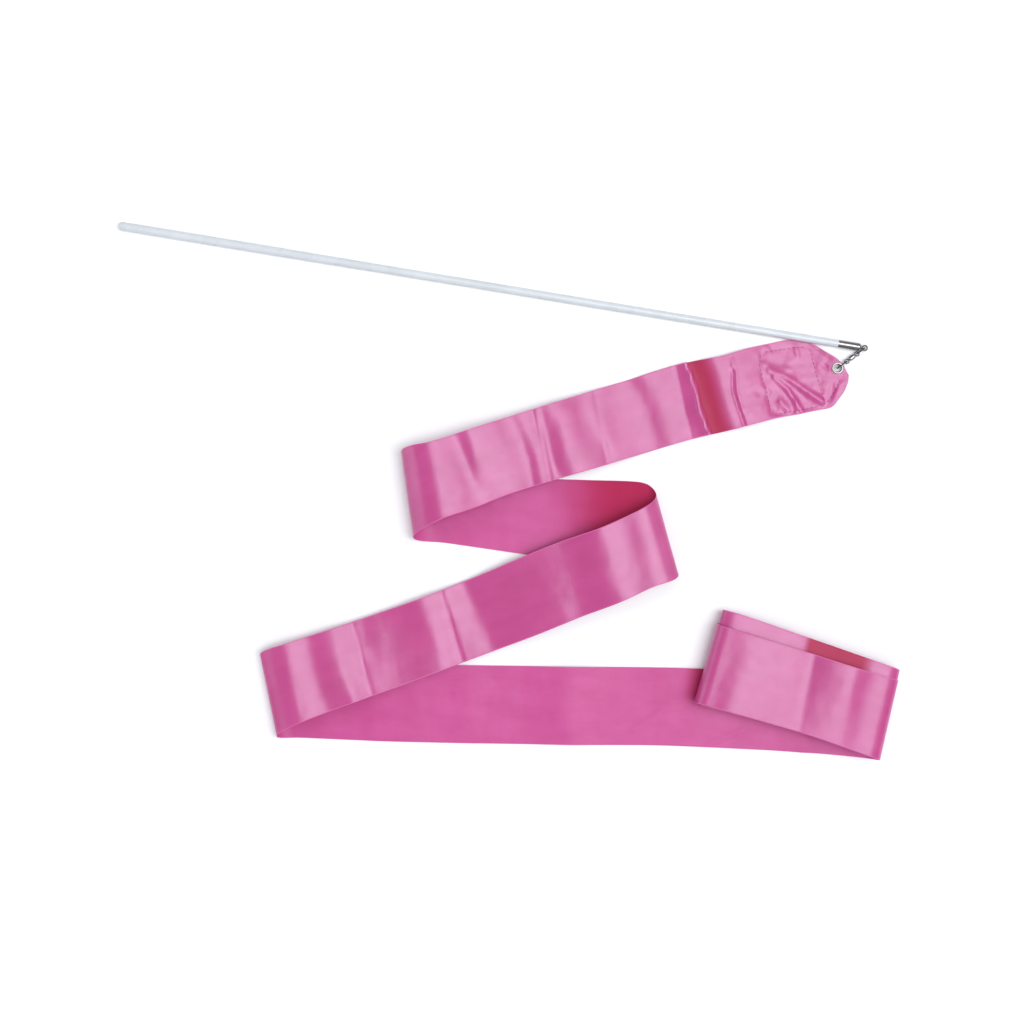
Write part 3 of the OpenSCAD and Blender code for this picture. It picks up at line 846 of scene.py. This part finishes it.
def rest_on(points, labels, under, over):
    """Lifts the run over clear of the run under, on a grid of 1 mm cells."""
    grid = {}
    for i in np.flatnonzero(labels == under):
        for p in points[i]:
            key = (round(p[0]), round(p[1]))
            for dx in (-1, 0, 1):
                for dy in (-1, 0, 1):
                    spot = (key[0] + dx, key[1] + dy)
                    grid[spot] = max(grid.get(spot, p[2]), p[2])
    for i in np.flatnonzero(labels == over):
        for p in points[i]:
            base = grid.get((round(p[0]), round(p[1])))
            if base is not None:
                p[2] = max(p[2], base + LAYER_GAP)


def smooth_rows(values, passes):
    for _ in range(passes):
        values[1:-1] = (values[:-2] + 2 * values[1:-1] + values[2:]) / 4
    return values


def strip_points():
    """The ribbon's middle surface, with each line's label and its place along the ribbon."""
    rows, labels, places = evenly(*whole_path())
    soft_rows = smooth_rows(rows.copy(), PATH_SMOOTHING)
    rows = np.where((labels == SEWN)[:, None], rows, soft_rows)
    v = column_places()
    w = ((v + 1) / 2)[None, :, None]
    points = rows[:, None, :3] * (1 - w) + rows[:, None, 3:] * w
    points[:, :, 2] += FLOOR
    points[:, :, 2] += raised(points, labels)
    least = np.where(labels == SEWN, LEAST_SEWN_HEIGHT, LEAST_HEIGHT)[:, None]
    lowest = FLOOR + least + LEAST_MARGIN
    above = (points[:, :, 2] - lowest) / LANDING
    points[:, :, 2] = lowest + LANDING * np.logaddexp(0, above * LANDING_BEND) / LANDING_BEND
    for under, over in RESTING:
        rest_on(points, labels, under, over)
    return points, labels, places


def face_normals(points):
    along = np.gradient(points, axis=0)
    across = np.gradient(points, axis=1)
    normal = np.cross(along, across)
    return normal / np.maximum(np.linalg.norm(normal, axis=2, keepdims=True), 1e-9)


def shell(name, points, normals, thickness, places, materials, skip=None, painted_fold_shade=None):
    """A sheet with a face, a back and the rim round them, in metres. It has no cells where skip is
    true, which leaves room for the eyelet."""
    n, m = points.shape[:2]
    half = thickness[:, :, None] / 2
    face, back = points + normals * half, points - normals * half
    verts = (np.concatenate([face.reshape(-1, 3), back.reshape(-1, 3)]) + (PLAN_X, 0, 0)) * MM
    u = (column_places()[None, :] + 1) / 2 + np.zeros((n, 1))
    uv = np.stack([u, places[:, None] / RIBBON_W + np.zeros((1, m))], axis=2).reshape(-1, 2)
    faces, slots = [], []
    size = n * m
    for i in range(n - 1):
        for j in range(m - 1):
            if skip is not None and skip[i, j]:
                continue
            a, b, c, d = i * m + j, i * m + j + 1, (i + 1) * m + j + 1, (i + 1) * m + j
            faces += [(a, d, c, b), (a + size, b + size, c + size, d + size)]
            slots += [0, 1]
    rim = []
    for i in range(n - 1):
        rim += [(i * m, (i + 1) * m), ((i + 1) * m + m - 1, i * m + m - 1)]
    for j in range(m - 1):
        rim += [(j + 1, j), ((n - 1) * m + j, (n - 1) * m + j + 1)]
    for a, b in rim:
        faces.append((a, a + size, b + size, b))
        slots.append(0)
    mesh = bpy.data.meshes.new(name)
    mesh.from_pydata([tuple(p) for p in verts], [], faces)
    mesh.polygons.foreach_set("material_index", slots)
    mesh.polygons.foreach_set("use_smooth", [True] * len(faces))
    layer = mesh.uv_layers.new(name=CLOTH_MAP)
    both = np.concatenate([uv, uv])
    corner = np.zeros(len(mesh.loops), np.int32)
    mesh.loops.foreach_get("vertex_index", corner)
    layer.data.foreach_set("uv", both[corner].ravel())
    # Painted crimson fold shade for each point, which the cloth's colour mixes in
    deep = mesh.attributes.new(FOLD_SHADE_MAP, "FLOAT", "POINT")
    if painted_fold_shade is not None:
        deep.data.foreach_set("value", np.concatenate([t.ravel() for t in painted_fold_shade]))
    edge_verts = np.zeros(len(mesh.edges) * 2, np.int32)
    mesh.edges.foreach_get("vertices", edge_verts)
    edge_verts = edge_verts.reshape(-1, 2)
    row, col = (edge_verts % size) // m, edge_verts % m
    on_side = (col[:, 0] == col[:, 1]) & np.isin(col[:, 0], (0, m - 1))
    on_end = (row[:, 0] == row[:, 1]) & np.isin(row[:, 0], (0, n - 1))
    sharp = mesh.attributes.new("sharp_edge", "BOOLEAN", "EDGE")
    sharp.data.foreach_set("value", on_side | on_end)
    for material in materials:
        mesh.materials.append(material)
    mesh.validate()
    mesh.update()
    piece = bpy.data.objects.new(name, mesh)
    bpy.context.scene.collection.objects.link(piece)
    return piece


def edge_thickness(shape, thickness):
    """The selvage is a little thicker, and rounds off at the very edge."""
    v = np.abs(column_places())[None, :]
    profile = thickness * (1 + 0.3 * np.exp(-(((v - 0.985) / 0.012) ** 2)))
    profile = np.where(v > 0.995, thickness * 0.55, profile)
    return profile + np.zeros(shape)


# ---------------------------------------------------------------------------------------------
# Thread
# ---------------------------------------------------------------------------------------------
STITCH_PITCH = 2.9
STITCH_LEN = 2.3
THREAD_R = 0.2
THREAD_SIDES = 7
THREAD_RINGS = 8
# How far a stitch arches up, how deep all of it is bedded, and how much deeper its ends go
STITCH_ARCH = 0.2
STITCH_BEDDING = 0.1
STITCH_DIVE = 0.25


def along_line(points, spacing):
    """Places with their directions every so often along a line of points in the plane."""
    p = np.array(points, float)
    gaps = np.linalg.norm(np.diff(p, axis=0), axis=1)
    at = np.concatenate([[0], np.cumsum(gaps)])
    count = int(at[-1] // spacing)
    first = (at[-1] - count * spacing) / 2 + spacing / 2
    result = []
    for k in range(count):
        s = first + k * spacing
        behind, here, ahead = (
            np.array([np.interp(s + step, at, p[:, 0]), np.interp(s + step, at, p[:, 1])])
            for step in (-0.5, 0, 0.5)
        )
        direction = (ahead - behind) / max(np.linalg.norm(ahead - behind), 1e-6)
        result.append((here, direction))
    return result


def thread_row(name, lines, height_at, seed, replaced):
    """Stitches as short bent lengths of thread whose ends go down into the cloth."""
    draw = np.random.default_rng(seed)
    sides, rings = THREAD_SIDES, THREAD_RINGS
    verts, faces = [], []
    for line in lines:
        for here, direction in along_line(line, STITCH_PITCH):
            turn_by = draw.normal(0, 0.07)
            ca, sa = math.cos(turn_by), math.sin(turn_by)
            d = np.array([direction[0] * ca - direction[1] * sa, direction[0] * sa + direction[1] * ca])
            side = np.array([-d[1], d[0]])
            length = STITCH_LEN * draw.uniform(0.9, 1.08)
            base = len(verts)
            for r in range(rings + 1):
                w = r / rings * 2 - 1
                place = here + d * w * length / 2
                top = height_at(place) + STITCH_ARCH * (1 - abs(w) ** 2.6)
                top = top - STITCH_BEDDING - STITCH_DIVE * abs(w) ** 8
                radius = THREAD_R * (1 - 0.25 * abs(w) ** 6)
                for q in range(sides):
                    a = 2 * math.pi * q / sides
                    off = side * radius * math.cos(a)
                    verts.append((place[0] + off[0], place[1] + off[1], top + radius * 0.8 * math.sin(a)))
            for r in range(rings):
                for q in range(sides):
                    a, b = base + r * sides + q, base + r * sides + (q + 1) % sides
                    faces.append((a, b, b + sides, a + sides))
            faces.append(tuple(base + q for q in reversed(range(sides))))
            faces.append(tuple(base + rings * sides + q for q in range(sides)))
    mesh = bpy.data.meshes.new(name)
    mesh.from_pydata([((x + PLAN_X) * MM, y * MM, z * MM) for x, y, z in verts], [], faces)
    mesh.polygons.foreach_set("use_smooth", [True] * len(faces))
    mesh.materials.append(THREAD)
    piece = bpy.data.objects.new(name, mesh)
    bpy.context.scene.collection.objects.link(piece)
    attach(piece, "ribbon")
    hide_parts(replaced)
    return piece


def stretch(x, start, grow, end, fade):
    """1 between start and end along x, growing after the one and fading after the other."""
    return ease((x - start) / grow) * (1 - ease((x - end) / fade))


def fold_shade_amounts(points, labels):
    """How much crimson painted fold shade the face and the back of the cloth get, from 0 to 1, by how
    deep in a fold they lie.
    """
    x = points[:, :, 0].mean(1, keepdims=True) + np.zeros(points.shape[:2])
    v = column_places()[None, :]
    # The valley beside the deep fold's crest
    valley = stretch(x + fold_lean(v) - CREST_AT, 0.4, 1.2, 8, 10)
    near = ((labels == SEWN) | (labels == 1))[:, None]
    face = np.where(near, valley * 0.95, 0)
    # Between the second and the third run, deeper towards the turn that joins them
    inside = ease((x - 296) / 52) * 0.92
    back = np.where((labels == 2)[:, None], inside, 0)
    rows = np.arange(len(labels))
    after = rows > np.flatnonzero(labels == 2)[-1]
    before = rows < np.flatnonzero(labels == 3)[0]
    back = np.where((after & before)[:, None], 0.9, back)
    back = np.where((labels == 3)[:, None], inside, back)
    # The fourth run, beside the bundle and under it
    beside = ease((points[:, :, 0] - 402) / 14) * ease((points[:, :, 1] + 248) / 14)
    back = np.where((labels == 4)[:, None], beside * 0.8, back)
    # The second wrap, where it shows north of the bundle's top layer
    second_wrap = (labels == FIRST_WRAP + 1)[:, None]
    face = np.where(second_wrap, stretch(x, 472, 5, 512, 8) * 0.95, face)
    return face, back


def surface_height(points, normals):
    """A function that gives the top of the cloth's face over a place in the plane."""
    flat = (points + normals * CLOTH_T / 2).reshape(-1, 3)

    def height(place):
        off = (flat[:, 0] - place[0]) ** 2 + (flat[:, 1] - place[1]) ** 2
        near = np.argpartition(off, 4)[:4]
        weight = 1 / (off[near] + 0.01)
        return float((flat[near, 2] * weight).sum() / weight.sum())

    return height


# ---------------------------------------------------------------------------------------------
# The ribbon's pieces
# ---------------------------------------------------------------------------------------------
HOLE_R = 3.0
# The second layer starts here along x, and is a little narrower and thinner than the first
LINING_FROM = 421
LINING_WIDTH = 0.985
LINING_T = CLOTH_T * 0.95
HEM_LINES = 3


def eyelet_hole(points, labels):
    """The cells of the sewn end that the eyelet's tube goes through."""
    to_eyelet = np.hypot(points[:, :, 0] - EYELET[0], points[:, :, 1] - EYELET[1])
    middle = (to_eyelet[:-1, :-1] + to_eyelet[1:, 1:]) / 2
    return (middle < HOLE_R) & (labels[:-1] == SEWN)[:, None]


def make_ribbon(points, normals, labels, places, hole):
    # The cloth gets crimson painted shade where it lies deep in a fold
    ribbon = shell("ribbon_satin", points, normals, edge_thickness(points.shape[:2], CLOTH_T),
                   places, [FACE, BACK], skip=hole, painted_fold_shade=fold_shade_amounts(points, labels))
    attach(ribbon, "ribbon")
    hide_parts("ribbon_end", *[f"ribbon_run_{n}" for n in range(1, 6)],
                *[f"ribbon_turn_{n}" for n in range(1, 6)], "ribbon_inner_wraps")
    return ribbon


def make_lining(points, labels, places, hole):
    """The end is turned back under itself, so it has a second layer."""
    lines = np.flatnonzero((labels == SEWN) & (points[:, :, 0].mean(1) > LINING_FROM))
    layer = points[lines].copy()
    centre = layer.mean(1, keepdims=True)
    layer[:, :, :2] = centre[:, :, :2] + (layer[:, :, :2] - centre[:, :, :2]) * LINING_WIDTH
    layer[:, :, 2] -= CLOTH_T + 0.04
    layer[:, :, 2] = np.maximum(layer[:, :, 2], FLOOR + CLOTH_T / 2 + 0.01)
    lining = shell("end_lining", layer, -face_normals(layer),
                   edge_thickness(layer.shape[:2], LINING_T),
                   places[lines], [FACE, BACK], skip=hole[lines[:-1]])
    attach(lining, "ribbon")
    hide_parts("end_patch")
    return lining


def make_hem(layer, normals, places):
    """The free end is hemmed: a narrow strip folded back on the last wrap."""
    hem = shell("hem_fold", layer, normals, edge_thickness(layer.shape[:2], CLOTH_T),
                places[-HEM_LINES:], [FACE, BACK])
    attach(hem, "ribbon")
    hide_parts("free_end_hem")
    return hem


def make_stitches(on_end, on_hem, hem_row):
    return [
        thread_row("stitches_inner", [INNER_ROW], on_end, 21, "cross_stitches_inner"),
        thread_row("stitches_outer", [OUTER_ROW], on_end, 22, "cross_stitches_outer"),
        thread_row("stitches_edge", EDGE_ROWS, on_end, 23, "edge_stitches"),
        thread_row("stitches_taper", TAPER_ROWS, on_end, 24, "taper_stitches"),
        thread_row("stitches_hem", [hem_row], on_hem, 25, "hem_stitches"),
    ]


def make_all_cloth():
    """The satin strip with its lining, hem and stitches, all attached to the ribbon's body."""
    points, labels, places = strip_points()
    normals = face_normals(points)
    hole = eyelet_hole(points, labels)
    ribbon = make_ribbon(points, normals, labels, places, hole)
    lining = make_lining(points, labels, places, hole)

    hem_points = points[-HEM_LINES:].copy()
    hem_points[:, :, 2] += CLOTH_T + 0.05
    hem_normals = face_normals(hem_points)
    hem = make_hem(hem_points, hem_normals, places)
    hem_row = [tuple(hem_points[1, 3, :2]), tuple(hem_points[1, -4, :2])]

    end_lines = labels == SEWN
    on_end = surface_height(points[end_lines], normals[end_lines])
    on_hem = surface_height(hem_points, hem_normals)
    stitches = make_stitches(on_end, on_hem, hem_row)


# ---------------------------------------------------------------------------------------------
# The stick and the metal parts
# ---------------------------------------------------------------------------------------------
# Darkest and lightest tone of each plastic and metal
WHITE = ((0.62, 0.65, 0.68), (0.70, 0.72, 0.75))
CAP_WHITE = ((0.60, 0.63, 0.66), (0.68, 0.70, 0.73))
FIBRE = ((0.62, 0.62, 0.50), (0.74, 0.74, 0.64))
BRASS = ((0.52, 0.36, 0.14), (0.66, 0.48, 0.22))
CHROME = ((0.16, 0.145, 0.145), (0.28, 0.26, 0.26))
NICKEL = ((0.20, 0.19, 0.185), (0.34, 0.33, 0.32))
STEEL = ((0.05, 0.046, 0.046), (0.13, 0.12, 0.12))
RING_STEEL = ((0.045, 0.042, 0.042), (0.12, 0.115, 0.115))
SAME_LOOK = {
    "swivel_lower_eye": "swivel_upper_eye",
    "eyelet_ring": "link_ring",
    "eyelet_back": "eyelet_front",
}


def cad_looks():
    """The material of every CAD node that isn't replaced."""
    looks = {
        "grip_cap": plastic_material("cap_plastic", *CAP_WHITE, 0.3),
        "rod_sleeve": plastic_material("white_sleeve", *WHITE, 0.27),
        "rod_core": plastic_material("glass_fibre", *FIBRE, 0.4, (4, 500, 500)),
        "ferrule": metal_material("ferrule_chrome", *CHROME, 0.16),
        "eye_collar": metal_material("collar_brass", *BRASS, 0.3),
        "tip_eye": metal_material("eye_steel", *STEEL, 0.26),
        "link_ring": metal_material("ring_steel", *RING_STEEL, 0.26),
        "swivel_upper_eye": metal_material("swivel_wire", *STEEL, 0.25),
        "swivel_barrel": metal_material("swivel_nickel", *NICKEL, 0.2),
        "eyelet_front": eyelet_material(),
    }
    for name, other in SAME_LOOK.items():
        looks[name] = looks[other]
    return looks


def dress_cad_nodes():
    for name, material in cad_looks().items():
        data = nodes[name].data
        data.materials.clear()
        data.materials.append(material)


# ---------------------------------------------------------------------------------------------
# Making it all
# ---------------------------------------------------------------------------------------------
make_camera()
make_floor().data.materials.append(floor_material())
make_light()

FACE = cloth_material("satin_face", FACE_TONES, 0.30, 1.0, 0.1)
BACK = cloth_material("satin_back", BACK_TONES, 0.44, 0.5, 0.15)
THREAD = thread_material()
make_all_cloth()
dress_cad_nodes()
